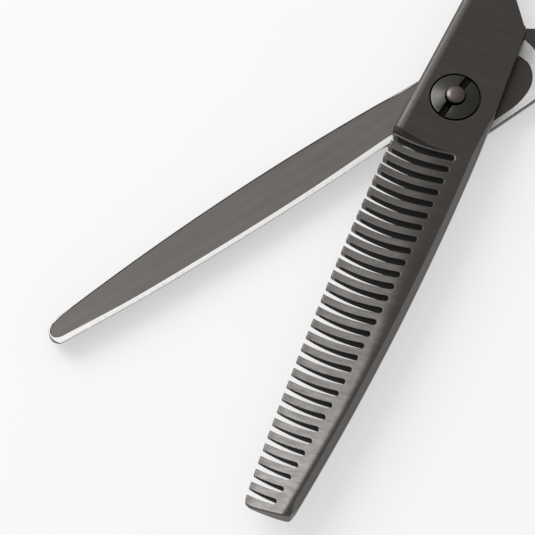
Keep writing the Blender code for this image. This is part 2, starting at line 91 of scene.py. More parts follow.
def makePiece(name, verts, faces, kinds, materials, place):
    mesh = bpy.data.meshes.new(name)
    world = [tuple(place @ (Vector(v) * mm)) for v in verts]
    mesh.from_pydata(world, [], faces)
    for made in materials:
        mesh.materials.append(made)
    mesh.polygons.foreach_set("material_index", kinds)
    mesh.validate()
    mesh.shade_smooth()
    piece = bpy.data.objects.new(name, mesh)
    bpy.context.scene.collection.objects.link(piece)
    return piece


def outward(piece, sharpDeg=34):
    shape = bmesh.new()
    shape.from_mesh(piece.data)
    bmesh.ops.remove_doubles(shape, verts=shape.verts, dist=0.0000005)
    bmesh.ops.recalc_face_normals(shape, faces=shape.faces)
    shape.to_mesh(piece.data)
    shape.free()
    piece.data.set_sharp_from_angle(angle=radians(sharpDeg))
    even = piece.modifiers.new("Even shading", "WEIGHTED_NORMAL")
    even.keep_sharp = True


def turnedPiece(name, profile, place, material, steps=96, sharpDeg=34):
    # a profile of (radius, height) turned about the local Z axis
    verts, rows = [], []
    for r, h in profile:
        if r < 1e-6:
            rows.append([len(verts)] * steps)
            verts.append((0, 0, h))
            continue
        rows.append(list(range(len(verts), len(verts) + steps)))
        verts += [(r * cos(2 * pi * i / steps), r * sin(2 * pi * i / steps), h) for i in range(steps)]
    if profile[0][0] > 1e-6:
        rows.append(rows[0])
    faces = []
    for one, two in zip(rows, rows[1:]):
        for i in range(steps):
            j = (i + 1) % steps
            ring = [one[i], two[i], two[j], one[j]]
            face = [v for k, v in enumerate(ring) if v not in ring[:k]]
            if len(face) > 2:
                faces.append(face)
    piece = makePiece(name, verts, faces, [0] * len(faces), [material], place)
    outward(piece, sharpDeg)
    return piece


def softProfile(points, reach, count=3):
    # rounds every inside corner of a turned profile
    soft = [points[0]]
    for before, corner, after in zip(points, points[1:], points[2:]):
        span = min(reach, 0.45 * min(hypot(before[0] - corner[0], before[1] - corner[1]),
                                     hypot(after[0] - corner[0], after[1] - corner[1])))
        soft += bentCorner(before, corner, after, span, count)
    return soft + [points[-1]]


# shader building
def node(tree, kind, at, **values):
    made = tree.nodes.new(kind)
    made.location = at
    for key, value in values.items():
        if hasattr(made, key):
            setattr(made, key, value)
        else:
            made.inputs[key.replace("_", " ")].default_value = value
    return made


def newGroup(name, inputs, outputs):
    group = bpy.data.node_groups.new(name, "ShaderNodeTree")
    for label, kind, value in inputs:
        socket = group.interface.new_socket(label, in_out="INPUT", socket_type=kind)
        if value is not None:
            socket.default_value = value
    for label, kind in outputs:
        group.interface.new_socket(label, in_out="OUTPUT", socket_type=kind)
    return group, node(group, "NodeGroupInput", (-900, 0)), node(group, "NodeGroupOutput", (600, 0))


def makeBrushedGroup():
    # fine straight grinding lines along one direction, with slower streaks between them
    group, enter, leave = newGroup(
        "brushedLines",
        [("Vector", "NodeSocketVector", None), ("Turn", "NodeSocketFloat", 0.0),
         ("Lines Per mm", "NodeSocketFloat", 9.0), ("Stretch", "NodeSocketFloat", 0.04),
         ("Relief", "NodeSocketFloat", 0.2)],
        [("Lines", "NodeSocketFloat"), ("Streaks", "NodeSocketFloat"), ("Normal", "NodeSocketVector")])
    link = group.links.new
    turn = node(group, "ShaderNodeVectorRotate", (-700, 100), rotation_type="Z_AXIS")
    squeeze = node(group, "ShaderNodeVectorMath", (-340, 100), operation="MULTIPLY")
    shape = node(group, "ShaderNodeCombineXYZ", (-520, -120))
    shape.inputs["Y"].default_value = 1.0
    shape.inputs["Z"].default_value = 1.0
    perMetre = node(group, "ShaderNodeMath", (-520, -280), operation="MULTIPLY")
    perMetre.inputs[1].default_value = 1000.0
    fine = node(group, "ShaderNodeTexNoise", (-160, 160), Detail=3.0, Roughness=0.65)
    slow = node(group, "ShaderNodeTexNoise", (-160, -160), Detail=2.0, Roughness=0.5)
    slowScale = node(group, "ShaderNodeMath", (-340, -280), operation="MULTIPLY")
    slowScale.inputs[1].default_value = 0.16
    bump = node(group, "ShaderNodeBump", (260, -60))
    bump.inputs["Distance"].default_value = 0.00002
    link(enter.outputs["Vector"], turn.inputs["Vector"])
    link(enter.outputs["Turn"], turn.inputs["Angle"])
    link(enter.outputs["Stretch"], shape.inputs["X"])
    link(turn.outputs[0], squeeze.inputs[0])
    link(shape.outputs[0], squeeze.inputs[1])
    link(enter.outputs["Lines Per mm"], perMetre.inputs[0])
    link(perMetre.outputs[0], slowScale.inputs[0])
    link(squeeze.outputs[0], fine.inputs["Vector"])
    link(squeeze.outputs[0], slow.inputs["Vector"])
    link(perMetre.outputs[0], fine.inputs["Scale"])
    link(slowScale.outputs[0], slow.inputs["Scale"])
    link(fine.outputs[0], bump.inputs["Height"])
    link(enter.outputs["Relief"], bump.inputs["Strength"])
    link(fine.outputs[0], leave.inputs["Lines"])
    link(slow.outputs[0], leave.inputs["Streaks"])
    link(bump.outputs[0], leave.inputs["Normal"])
    return group


def makeBlotchGroup():
    # slow cloudy change of tone, and a speck of handling dust
    group, enter, leave = newGroup(
        "handledTone",
        [("Vector", "NodeSocketVector", None), ("Patch Per mm", "NodeSocketFloat", 0.12)],
        [("Cloud", "NodeSocketFloat"), ("Specks", "NodeSocketFloat")])
    link = group.links.new
    perMetre = node(group, "ShaderNodeMath", (-600, -120), operation="MULTIPLY")
    perMetre.inputs[1].default_value = 1000.0
    cloud = node(group, "ShaderNodeTexNoise", (-340, 100), Detail=4.0, Roughness=0.55)
    speck = node(group, "ShaderNodeTexNoise", (-340, -160), Scale=9000.0, Detail=2.0)
    pick = node(group, "ShaderNodeMapRange", (-60, -160))
    for label, value in (("From Min", 0.62), ("From Max", 0.8)):
        pick.inputs[label].default_value = value
    link(enter.outputs["Vector"], cloud.inputs["Vector"])
    link(enter.outputs["Vector"], speck.inputs["Vector"])
    link(enter.outputs["Patch Per mm"], perMetre.inputs[0])
    link(perMetre.outputs[0], cloud.inputs["Scale"])
    link(speck.outputs[0], pick.inputs["Value"])
    link(cloud.outputs[0], leave.inputs["Cloud"])
    link(pick.outputs[0], leave.inputs["Specks"])
    return group


brushedGroup = makeBrushedGroup()
toneGroup = makeBlotchGroup()


def startMaterial(name, look):
    made = bpy.data.materials.new(name)
    made.use_nodes = True
    tree = made.node_tree
    shader = tree.nodes["Principled BSDF"]
    shader.inputs["Metallic"].default_value = look.get("metallic", 1.0)
    shader.inputs["Anisotropic"].default_value = look.get("anisotropic", 0.0)
    shader.inputs["Coat Weight"].default_value = look.get("coat", 0.0)
    shader.inputs["Coat Roughness"].default_value = look.get("coatRoughness", 0.2)
    shader.inputs["Specular IOR Level"].default_value = look.get("specular", 0.5)
    place = node(tree, "ShaderNodeTexCoord", (-1200, 0))
    return made, tree, shader, place.outputs["Object"]


def spanOf(tree, source, low, high, at):
    # maps a 0 to 1 value to a range
    made = node(tree, "ShaderNodeMapRange", at)
    made.inputs["From Min"].default_value = 0.3
    made.inputs["From Max"].default_value = 0.7
    made.inputs["To Min"].default_value = low
    made.inputs["To Max"].default_value = high
    tree.links.new(source, made.inputs["Value"])
    return made.outputs[0]


def toneMix(tree, mask, dark, light, at):
    made = node(tree, "ShaderNodeMix", at, data_type="RGBA")
    colourIn = [s for s in made.inputs if s.type == "RGBA"]
    colourIn[0].default_value = (*dark, 1)
    colourIn[1].default_value = (*light, 1)
    tree.links.new(mask, made.inputs["Factor"])
    return [s for s in made.outputs if s.type == "RGBA"][0]


def brushedSteel(name, look):
    made, tree, shader, where = startMaterial(name, look)
    link = tree.links.new
    lines = node(tree, "ShaderNodeGroup", (-900, 160), node_tree=brushedGroup)
    lines.inputs["Turn"].default_value = radians(look["turnDeg"])
    lines.inputs["Lines Per mm"].default_value = look["linesPerMm"]
    lines.inputs["Relief"].default_value = look["relief"]
    lines.inputs["Stretch"].default_value = look.get("stretch", 0.04)
    tone = node(tree, "ShaderNodeGroup", (-900, -200), node_tree=toneGroup)
    link(where, lines.inputs["Vector"])
    link(where, tone.inputs["Vector"])
    mask = node(tree, "ShaderNodeMath", (-640, 60), operation="MULTIPLY_ADD")
    mask.inputs[1].default_value = 0.45
    link(lines.outputs["Lines"], mask.inputs[0])
    half = node(tree, "ShaderNodeMath", (-640, -120), operation="MULTIPLY")
    half.inputs[1].default_value = 0.55
    link(lines.outputs["Streaks"], half.inputs[0])
    link(half.outputs[0], mask.inputs[2])
    spread = node(tree, "ShaderNodeMapRange", (-460, 60))
    spread.inputs["From Min"].default_value = 0.3
    spread.inputs["From Max"].default_value = 0.7
    link(mask.outputs[0], spread.inputs["Value"])
    colour = toneMix(tree, spread.outputs[0], look["dark"], look["light"], (-260, 160))
    # the ground finish, mixed in by a vertex attribute: partly a real finish, partly a painted sheen that
    # brightens towards the tip
    if "polished" in look:
        polishAndSheen = node(tree, "ShaderNodeAttribute", (-640, 560), attribute_name="polishAndSheen")
        shine = toneMix(tree, spread.outputs[0], look["polished"][0], look["polished"][1], (-260, 400))
        blend = node(tree, "ShaderNodeMix", (-160, 480), data_type="RGBA")
        ends = [s for s in blend.inputs if s.type == "RGBA"]
        link(polishAndSheen.outputs["Fac"], blend.inputs["Factor"])
        link(colour, ends[0])
        link(shine, ends[1])
        colour = [s for s in blend.outputs if s.type == "RGBA"][0]
    # edge wear that also paints the edges' highlight: a pale colour mixed in along the rounded edges
    wearAndHighlightAt = node(tree, "ShaderNodeAttribute", (-640, 380), attribute_name="edge")
    wearAndHighlightShare = node(tree, "ShaderNodeMath", (-460, 380), operation="MULTIPLY")
    wearAndHighlightShare.inputs[1].default_value = look.get("edgeWearAndHighlight", 0.0)
    link(wearAndHighlightAt.outputs["Fac"], wearAndHighlightShare.inputs[0])
    bright = node(tree, "ShaderNodeMix", (-60, 260), data_type="RGBA")
    link(wearAndHighlightShare.outputs[0], bright.inputs["Factor"])
    sockets = [s for s in bright.inputs if s.type == "RGBA"]
    link(colour, sockets[0])
    sockets[1].default_value = (*look.get("wornAndHighlightColour", (0.6, 0.59, 0.57)), 1)
    link([s for s in bright.outputs if s.type == "RGBA"][0], shader.inputs["Base Color"])
    low, high = look["roughness"]
    link(spanOf(tree, tone.outputs["Cloud"], low, high, (-460, -200)), shader.inputs["Roughness"])
    link(lines.outputs["Normal"], shader.inputs["Normal"])
    return made


def turnedSteel(name, look, axis=(0, 0)):
    # circular tool marks round the pivot axis
    made, tree, shader, where = startMaterial(name, look)
    link = tree.links.new
    radius = node(tree, "ShaderNodeVectorMath", (-800, 160), operation="LENGTH")
    flat = node(tree, "ShaderNodeVectorMath", (-1000, 160), operation="MULTIPLY")
    flat.inputs[1].default_value = (1, 1, 0)
    link(where, flat.inputs[0])
    link(flat.outputs[0], radius.inputs[0])
    stack = node(tree, "ShaderNodeCombineXYZ", (-620, 160))
    link(radius.outputs["Value"], stack.inputs["X"])
    marks = node(tree, "ShaderNodeTexNoise", (-440, 160), Scale=look["marksPerMm"] * 1000, Detail=3.0)
    link(stack.outputs[0], marks.inputs["Vector"])
    tone = node(tree, "ShaderNodeGroup", (-900, -200), node_tree=toneGroup)
    link(where, tone.inputs["Vector"])
    colour = toneMix(tree, marks.outputs[0], look["dark"], look["light"], (-200, 200))
    link(colour, shader.inputs["Base Color"])
    low, high = look["roughness"]
    link(spanOf(tree, tone.outputs["Cloud"], low, high, (-460, -200)), shader.inputs["Roughness"])
    bump = node(tree, "ShaderNodeBump", (-200, -120))
    bump.inputs["Distance"].default_value = 0.00002
    bump.inputs["Strength"].default_value = look["relief"]
    link(marks.outputs[0], bump.inputs["Height"])
    link(bump.outputs[0], shader.inputs["Normal"])
    tangent = node(tree, "ShaderNodeTangent", (-200, -320), direction_type="RADIAL", axis="Z")
    link(tangent.outputs[0], shader.inputs["Tangent"])
    return made


def mouldedSoft(name, look):
    # rubber or plastic with a fine moulded skin
    made, tree, shader, where = startMaterial(name, look)
    link = tree.links.new
    tone = node(tree, "ShaderNodeGroup", (-900, -60), node_tree=toneGroup)
    link(where, tone.inputs["Vector"])
    skin = node(tree, "ShaderNodeTexNoise", (-700, 260), Scale=look["skinPerMm"] * 1000, Detail=3.0)
    link(where, skin.inputs["Vector"])
    link(toneMix(tree, tone.outputs["Cloud"], look["dark"], look["light"], (-300, 160)),
         shader.inputs["Base Color"])
    low, high = look["roughness"]
    link(spanOf(tree, tone.outputs["Cloud"], low, high, (-460, -160)), shader.inputs["Roughness"])
    bump = node(tree, "ShaderNodeBump", (-300, 320))
    bump.inputs["Distance"].default_value = 0.00003
    bump.inputs["Strength"].default_value = look["relief"]
    link(skin.outputs[0], bump.inputs["Height"])
    link(bump.outputs[0], shader.inputs["Normal"])
    return made


# camera, floor and light
view = {"from": (-0.1719, -0.1009, 0.4284), "right": (0.6266, -0.7793, 0.0),
        "up": (0.7236, 0.5818, 0.3714), "lens": 201.87, "sensor": 36.0}


def makeCamera():
    data = bpy.data.cameras.new("camera")
    data.lens = view["lens"]
    data.sensor_width = view["sensor"]
    data.clip_start = 0.01
    data.clip_end = 20
    camera = bpy.data.objects.new("camera", data)
    bpy.context.scene.collection.objects.link(camera)
    right, up = Vector(view["right"]).normalized(), Vector(view["up"]).normalized()
    back = right.cross(up)
    turn = Matrix((right, up, back)).transposed().to_4x4()
    camera.matrix_world = Matrix.Translation(view["from"]) @ turn
    bpy.context.scene.camera = camera
    return right, up


studio = {"floorColour": (0.42, 0.42, 0.42), "floorGlow": 0.51, "dimSide": 0.46, "brightSide": 0.95,
          "brightFrom": (-0.5, 0.5, 0.707), "dimBelow": 0.35, "brightAbove": 1.0,
          "key": {"power": 7.0, "size": (0.7, 0.7), "left": 0.66, "up": 0.42, "high": 0.68}}


def areaLight(name, look, right, up):
    data = bpy.data.lights.new(name, "AREA")
    data.shape = "RECTANGLE"
    data.size, data.size_y = look["size"]
    data.energy = look["power"]
    lamp = bpy.data.objects.new(name, data)
    bpy.context.scene.collection.objects.link(lamp)
    across = Vector((up.x, up.y, 0)).normalized()
    at = -right * look["left"] + across * look["up"] + Vector((0, 0, look["high"]))
    aim = Vector((-0.03, 0, 0))
    lamp.location = at
    lamp.rotation_mode = "QUATERNION"
    lamp.rotation_quaternion = (aim - at).to_track_quat("-Z", "Y")


def makeStudio(right, up):
    mesh = bpy.data.meshes.new("floor")
    reach = 3.0
    mesh.from_pydata([(-reach, -reach, 0), (reach, -reach, 0), (reach, reach, 0), (-reach, reach, 0)],
                     [], [(0, 1, 2, 3)])
    floor = bpy.data.objects.new("floor", mesh)
    floor.location.z = -0.00002
    bpy.context.scene.collection.objects.link(floor)
    paper = bpy.data.materials.new("paleFloor")
    paper.use_nodes = True
    shader = paper.node_tree.nodes["Principled BSDF"]
    shader.inputs["Base Color"].default_value = (*studio["floorColour"], 1)
    shader.inputs["Emission Color"].default_value = (1, 1, 1, 1)
    shader.inputs["Emission Strength"].default_value = studio["floorGlow"]
    shader.inputs["Roughness"].default_value = 0.9
    shader.inputs["Specular IOR Level"].default_value = 0.1
    mesh.materials.append(paper)
    world = bpy.data.worlds.new("studio")
    world.use_nodes = True
    # the room is brighter on the window side and dimmer behind the viewer
    tree = world.node_tree
    left, upward, high = studio["brightFrom"]
    across = Vector((up.x, up.y, 0)).normalized()
    towards = right * left + across * upward + Vector((0, 0, high))
    where = node(tree, "ShaderNodeTexCoord", (-900, 0))
    facing = node(tree, "ShaderNodeVectorMath", (-700, 0), operation="DOT_PRODUCT")
    facing.inputs[1].default_value = towards.normalized()
    level = node(tree, "ShaderNodeMapRange", (-500, 0), interpolation_type="SMOOTHSTEP")
    level.inputs["From Min"].default_value = studio["dimBelow"]
    level.inputs["From Max"].default_value = studio["brightAbove"]
    level.inputs["To Min"].default_value = studio["dimSide"]
    level.inputs["To Max"].default_value = studio["brightSide"]
    tree.links.new(where.outputs["Generated"], facing.inputs[0])
    tree.links.new(facing.outputs["Value"], level.inputs["Value"])
    tree.links.new(level.outputs[0], tree.nodes["Background"].inputs["Strength"])
    tree.nodes["Background"].inputs["Color"].default_value = (1, 1, 1, 1)
    bpy.context.scene.world = world
    areaLight("keyLight", studio["key"], right, up)
    bpy.context.scene.view_settings.view_transform = "Standard"


makeStudio(*makeCamera())
print("camera and studio made")


# materials
combDeg = 180 + layout["restOpen"] / 2
straightDeg = 180 - layout["restOpen"] / 2
# the edge colour is partly real edge wear and partly a painted highlight along the rounded edges
coatLook = {"dark": (0.052, 0.047, 0.043), "light": (0.066, 0.060, 0.055), "metallic": 1.0,
            "roughness": (0.3, 0.36), "linesPerMm": 9.0, "relief": 0.08, "edgeWearAndHighlight": 0.06,
            "wornAndHighlightColour": (0.45, 0.44, 0.42)}
# near-black slot walls: painted shade standing in for the shadow inside the comb's slots
slotPaintedShadeLook = dict(coatLook, dark=(0.004, 0.004, 0.004), light=(0.01, 0.01, 0.01), metallic=0.0,
                    specular=0.12, roughness=(0.6, 0.7), edgeWearAndHighlight=0.0)
combCoat = brushedSteel("combCoat", dict(coatLook, turnDeg=90 - combDeg, edgeWearAndHighlight=0.085, relief=0.075,
                                         polished=((0.063, 0.0605, 0.0575), (0.15, 0.144, 0.137))))
straightCoat = brushedSteel("straightCoat", dict(coatLook, turnDeg=90 - straightDeg))
combSlotPaintedShade = brushedSteel("combSlotPaintedShade", dict(slotPaintedShadeLook, turnDeg=90 - combDeg))
hollowLook = {"dark": (0.136, 0.126, 0.12), "light": (0.165, 0.154, 0.147), "metallic": 1.0,
              "roughness": (0.34, 0.4), "linesPerMm": 8.0, "relief": 0.1, "turnDeg": -straightDeg}
hollowSteel = brushedSteel("hollowSteel", hollowLook)
landLook = {"dark": (0.64, 0.635, 0.625), "light": (0.78, 0.775, 0.765), "metallic": 1.0,
            "roughness": (0.5, 0.6), "linesPerMm": 12.0, "relief": 0.15, "turnDeg": -straightDeg}
landSteel = brushedSteel("landSteel", landLook)
nutLook = {"dark": (0.034, 0.034, 0.032), "light": (0.074, 0.071, 0.063), "metallic": 1.0,
           "roughness": (0.2, 0.28), "marksPerMm": 5.0, "relief": 0.4, "anisotropic": 0.5}
nutSteel = turnedSteel("nutSteel", nutLook)
# near-black nut slot: painted shade on the slot's floor and walls
nutSlotPaintedShade = turnedSteel("nutSlotPaintedShade", dict(nutLook, dark=(0.001, 0.001, 0.001), light=(0.003, 0.003, 0.003),
                                          metallic=0.0, specular=0.08))
studSteel = turnedSteel("studSteel", dict(nutLook, dark=(0.095, 0.08, 0.077), light=(0.14, 0.117, 0.113),
                                          roughness=(0.24, 0.3)))
springSteel = turnedSteel("springSteel", dict(nutLook, dark=(0.4, 0.4, 0.4), light=(0.55, 0.55, 0.54)))
rubberLook = {"dark": (0.012, 0.012, 0.012), "light": (0.03, 0.03, 0.03), "metallic": 0.0,
              "roughness": (0.55, 0.7), "skinPerMm": 6.0, "relief": 0.35}
blackRubber = mouldedSoft("blackRubber", rubberLook)
slickPlastic = mouldedSoft("slickPlastic", dict(rubberLook, dark=(0.6, 0.58, 0.53),
                                                light=(0.72, 0.7, 0.66), roughness=(0.35, 0.45)))
print("materials made")


# the two halves
def loopNormals(loop):
    # unit vectors into the metal, which lies on the left of the way round
    step = np.roll(loop, -1, axis=0) - loop
    step /= np.linalg.norm(step, axis=1)[:, None]
    both = step + np.roll(step, 1, axis=0)
    both /= np.maximum(np.linalg.norm(both, axis=1), 1e-9)[:, None]
    return np.c_[-both[:, 1], both[:, 0]]


def insideLoops(points, loops):
    points = np.asarray(points, float)
    hit = np.zeros(len(points), bool)
    for loop in loops:
        nextOne = np.roll(loop, -1, axis=0)
        for (x0, y0), (x1, y1) in zip(loop, nextOne):
            if y0 == y1:
                continue
            near = (points[:, 1] > min(y0, y1)) & (points[:, 1] <= max(y0, y1))
            cross = x0 + (points[near, 1] - y0) * (x1 - x0) / (y1 - y0)
            hit[near] ^= points[near, 0] < cross
    return hit


class forgedSolid:
    # a plate with shaped edges: rings of points up its walls, then a fine skin on both faces

    def __init__(self):
        self.verts, self.faces, self.kinds, self.edge, self.polishAndSheen = [], [], [], [], []
        self.lows, self.highs = [], []

    def addWall(self, rings, wearAndHighlightMask, wallKinds=None):
        # rings go from the sliding face to the outer face
        count = len(rings[0])
        first = len(self.verts)
        for ring, mask in zip(rings, wearAndHighlightMask):
            self.verts += [tuple(p) for p in ring]
            self.edge += list(mask)
        for k in range(len(rings) - 1):
            for i in range(count):
                j = (i + 1) % count
                a, b = first + k * count, first + (k + 1) * count
                self.faces.append((a + i, a + j, b + j, b + i))
                self.kinds.append(wallKinds[i] if wallKinds and k <= roundSteps else 0)
        self.lows.append(list(range(first, first + count)))
        top = first + (len(rings) - 1) * count
        self.highs.append(list(range(top, top + count)))

    def addSkin(self, outer, heightAt, kindAt, grid, guideLines=()):
        edgeRows = self.highs if outer else self.lows
        loops = [np.array([self.verts[i][:2] for i in row]) for row in edgeRows]
        flat, owner, edges = [], [], []
        for row in edgeRows:
            first = len(flat)
            flat += [self.verts[i][:2] for i in row]
            owner += row
            edges += [(first + i, first + (i + 1) % len(row)) for i in range(len(row))]
        tree = KDTree(len(flat) + sum(len(g) for g in guideLines))
        for i, p in enumerate(flat):
            tree.insert((p[0], p[1], 0), i)
        for line in guideLines:
            pts = np.array(line, float)
            keep = insideLoops(pts, loops)
            last = None
            for p, good in zip(pts, keep):
                if not good:
                    last = None
                    continue
                flat.append(tuple(p))
                owner.append(None)
                tree.insert((p[0], p[1], 0), len(flat) - 1)
                if last is not None:
                    edges.append((last, len(flat) - 1))
                last = len(flat) - 1
        tree.balance()
        for low, high, gap in grid:
            box = np.concatenate(loops)
            ws = np.arange(box[:, 1].min(), box[:, 1].max(), gap * 0.866)
            cells = [(s + (gap / 2 if k % 2 else 0), w) for k, w in enumerate(ws)
                     for s in np.arange(low, high, gap)]
            cells = np.array(cells)
            for s, w in cells[insideLoops(cells, loops)]:
                if tree.find((s, w, 0))[2] > 0.5 * gap:
                    flat.append((s, w))
                    owner.append(None)
        got = delaunay_2d_cdt([Vector(p) for p in flat], edges, [], 0, 1e-5)
        spots, tris, source = got[0], got[2], got[3]
        spots, tris = np.array([p[:] for p in spots]), np.array(tris)
        centres = spots[tris].mean(axis=1)
        inside = insideLoops(centres, loops)
        tris, centres = tris[inside], centres[inside]
        heights = heightAt(spots[:, 0], spots[:, 1])
        kinds = kindAt(centres[:, 0], centres[:, 1])
        index = {}
        for i in np.unique(tris):
            known = [owner[k] for k in source[i] if owner[k] is not None]
            index[i] = known[0] if known else len(self.verts)
            if not known:
                self.verts.append((*spots[i], heights[i]))
                self.edge.append(0.0)
        for t, kind in zip(tris, kinds):
            face = tuple(index[i] for i in t)
            self.faces.append(face if outer else face[::-1])
            self.kinds.append(int(kind))

    def build(self, name, materials, place):
        mesh = bpy.data.meshes.new(name)
        mesh.from_pydata([tuple(place @ (Vector(v) * mm)) for v in self.verts], [], self.faces)
        for made in materials:
            mesh.materials.append(made)
        mesh.polygons.foreach_set("material_index", self.kinds)
        for label, values in (("edge", self.edge), ("polishAndSheen", self.polishAndSheen)):
            if len(values) == len(self.verts):
                mesh.attributes.new(label, "FLOAT", "POINT").data.foreach_set("value", values)
        mesh.shade_smooth()
        mesh.set_sharp_from_angle(angle=radians(38))
        piece = bpy.data.objects.new(name, mesh)
        bpy.context.scene.collection.objects.link(piece)
        even = piece.modifiers.new("Even shading", "WEIGHTED_NORMAL")
        even.keep_sharp = True
        return piece


def flatKind(s, w):
    return np.zeros(len(s), int)


roundSteps = 4


def edgeRings(loop, edge, topAt, bottomAt):
    # edge columns: top round width and height, bottom round width and height, chamfer share,
    # chamfer width and foot height
    loop, edge = np.array(loop, float), np.array(edge, float)
    inward = loopNormals(loop)
    tw, th, bw, bh, share, cw, foot = edge.T
    lowSpot = loop + inward * bw[:, None]
    low = bottomAt(lowSpot[:, 0], lowSpot[:, 1])
    # each ring's share of edge wear and painted highlight: most in the middle of the top round, a little on
    # the bottom round
    rings, wearAndHighlightMasks = [], []
    for k in range(roundSteps + 1):
        a = pi / 2 * k / roundSteps
        spot = loop + inward * (bw * (1 - sin(a)))[:, None]
        rings.append(np.c_[spot, low + bh * (1 - cos(a))])
        wearAndHighlightMasks.append(np.full(len(loop), 0.3 if 0 < k < roundSteps else 0.0))
    across = np.array([0.0, 0.04, 0.5, 0.975, 1.06])
    upward = np.array([0.0, 0.05, 0.5, 0.965, 1.0])
    plainTop = topAt(*(loop + inward * tw[:, None]).T)
    chamferTop = topAt(*(loop + inward * (cw * across[-1])[:, None]).T)
    for k in range(roundSteps + 1):
        a = pi / 2 * k / roundSteps
        offset = (1 - share) * tw * (1 - cos(a)) + share * cw * across[k]
        height = (1 - share) * (plainTop - th * (1 - sin(a))) \
            + share * (foot + (chamferTop - foot) * upward[k])
        spot = loop + inward * offset[:, None]
        if k == roundSteps:
            height = topAt(spot[:, 0], spot[:, 1])
        rings.append(np.c_[spot, height])
        wearAndHighlightMasks.append(np.full(len(loop), 1.0 if k in (2, 3) else 0.5 if k in (1, 4) else 0.0))
    flatOffset = (1 - share) * tw + share * cw * across[-1] + 0.08
    spot = loop + inward * flatOffset[:, None]
    rings.append(np.c_[spot, topAt(spot[:, 0], spot[:, 1])])
    wearAndHighlightMasks.append(np.zeros(len(loop)))
    return rings, wearAndHighlightMasks


def boreRings(profile, count=96):
    # profile of (radius, height) from the sliding face to the outer face, turned about the pivot
    turns = -np.linspace(0, 2 * pi, count, endpoint=False)
    rings = [np.c_[r * np.cos(turns), r * np.sin(turns), np.full(count, h)] for r, h in profile]
    return rings, [np.zeros(count) for _ in profile]


handle = {"half": 3.2, "ringWall": 4.4, "shankOuter": -6.2, "fillet": 9.0,
          "innerEdge": -0.95, "rollWidth": 1.9}
combShape = {"tangOuter": 6.33, "tangTaper": 0.0945, "spine": 6.65, "spineBow": 0.00108,
             "tipLine": 7.5, "tipBow": 0.0008, "tipWidest": 38.0, "teeth": 30, "pitch": 2.107,
             "slotWidth": 0.95, "firstSlot": 9.9, "slotLean": 0.5, "slotRadius": 25.0, "web": 3.1,
             "ridgeIn": 0.72, "heelEase": 5.0, "tipEase": 0.5, "heelFlat": 1.3,
             "tipFlat": 0.35, "toothThick": 0.75, "heelThick": 1.7,
             # heel and tip levels of the ground finish; the rise between them is painted light along the
             # blade
             "heelPolishAndSheen": 0.08, "tipPolishAndSheen": 0.85,
             "rampStart": 7.87, "rampLean": 0.21, "ringS": -60.0, "ringR": 12.4,
             "ringW": -17.36}
straightShape = {"tangOuter": 6.68, "tangTaper": 0.04, "spine": 7.1, "spineBow": 0.00117,
                 "spineWidest": 24.0, "edgeBow": 0.0007, "edgeNearest": 40.0, "edgeLow": 0.24,
                 "ridgeIn": 0.7, "ridgeFall": 0.012, "edgeThick": 0.12, "ringS": -70.0,
                 "ringR": 11.6, "ringW": -17.0, "hollowDepth": 0.1, "land": 0.8, "moonR": 16.1}


def combSpine(s):
    return combShape["spine"] - combShape["spineBow"] * s * s


def toothLine(s):
    return -combShape["tipLine"] + combShape["tipBow"] * (s - combShape["tipWidest"]) ** 2


def straightSpine(s):
    return straightShape["spine"] - straightShape["spineBow"] * (s - straightShape["spineWidest"]) ** 2


def cuttingEdge(s):
    # lowest along the middle, and back up at the tip
    low = straightShape["edgeLow"] * (1 - easeStep(56, 72, s))
    return straightShape["edgeBow"] * (s - straightShape["edgeNearest"]) ** 2 - low


def shankTop(s):
    return layout["thick"] + (handle["half"] - layout["thick"]) * easeStep(-20, -34, s)


def shankDrop(s):
    # the handle grows to full thickness behind the point where the halves stop overlapping
    return -handle["half"] * easeStep(-24.0, -31.0, s)


def rampSpan(w):
    # where the run-out of the grind starts and ends, along the blade
    across = w + 7
    end = 8.68 + 0.26 * across - 0.0208 * across ** 2
    return np.minimum(combShape["rampStart"] + combShape["rampLean"] * across, end - 0.3), end


def combCrest(s):
    # where the flat strip beside the spine ends and the grind begins
    flat = combShape["heelFlat"] + (combShape["tipFlat"] - combShape["heelFlat"]) * easeStep(10, 52, s)
    return combSpine(s) - combShape["ridgeIn"] - flat


def combEase(s):
    return combShape["heelEase"] + (combShape["tipEase"] - combShape["heelEase"]) * easeStep(10, 52, s)


def combGrindAndPaintedSheen(s, w, h):
    # the ground finish is lighter than the coat and fades out towards the flat strip; its rise from the heel
    # to the tip is painted light, and it is darker near the tooth tips
    onGrind = easeStep(0.0, 1.0, (combCrest(s) - w) / (combEase(s) * 0.7 + 0.15))
    past = easeStep(-0.05, 0.1, s - rampSpan(w)[1])
    share = combShape["heelPolishAndSheen"] + (combShape["tipPolishAndSheen"] - combShape["heelPolishAndSheen"]) * easeStep(8, 66, s)
    dull = 0.25 + 0.75 * easeStep(0.15, 1.6, w - toothLine(s))
    return onGrind * past * share * dull * (h > combOuter(s, w) - 0.06)


def combOuter(s, w):
    s, w = np.asarray(s, float), np.asarray(w, float)
    shape = combShape
    ridge, crest, ease = layout["thick"], combCrest(s), combEase(s)
    u = np.maximum(crest - w, 0)
    most = crest - toothLine(s) - ease / 2
    thin = shape["heelThick"] + (shape["toothThick"] - shape["heelThick"]) * easeStep(8, 50, s)
    fall = (ridge - thin) / most * np.where(u < ease, u * u / (2 * ease), u - ease / 2)
    start, end = rampSpan(w)
    x = np.clip((s - start) / (end - start), 0, 1)
    ground = layout["thick"] - (layout["thick"] - (ridge - fall)) * (1 - (1 - x) ** 1.7)
    return np.where(s > 5, ground, shankTop(s))


def combRide(s, w):
    s = np.asarray(s, float)
    return shankDrop(s) + 0.0 * np.asarray(w, float)


